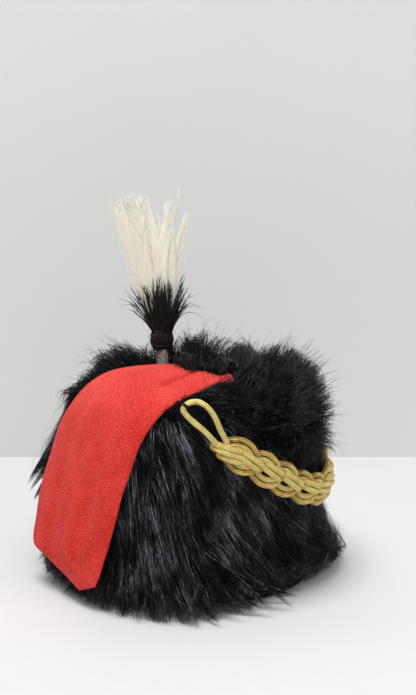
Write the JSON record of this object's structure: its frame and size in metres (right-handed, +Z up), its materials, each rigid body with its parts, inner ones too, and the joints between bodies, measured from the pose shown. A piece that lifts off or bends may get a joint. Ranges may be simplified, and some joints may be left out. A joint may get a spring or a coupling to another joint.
{
  "type": "busby",
  "caption": "Oval fur cap, open below, with a red cloth bag over one side, a short white and black feather plume and a plaited gold cord festoon across the front.",
  "frame": {"origin": "on the surface that the hat stands on, under the middle of its head opening", "axes": "+Z up through the crown, -Y towards the front where the festoon hangs, -X towards the wearer's right"},
  "size_m": [0.2674, 0.2642, 0.328],
  "materials": {
    "body": "plain black moulded leather",
    "fur": "long glossy black fur",
    "cloth": "matte red wool cloth",
    "feather": "soft off-white feather",
    "hackle": "black hackle feather",
    "thread": "black cotton thread",
    "stem": "bare tan stem",
    "gold": "gold wire gimp cord with a satin sheen"
  },
  "bodies": {
    "root": {"cap_body": "body", "fur_crown": "fur", "fur_side_right": "fur", "fur_side_left": "fur", "bag": "cloth", "plume_stem": "stem", "plume_binding": "thread", "plume_hackle": "hackle", "plume_feathers": "feather", "festoon_plait": "gold", "festoon_loop_right": "gold", "festoon_loop_left": "gold", "loop_stitch_right": "thread", "loop_stitch_left": "thread"}
  },
  "joints": []
}
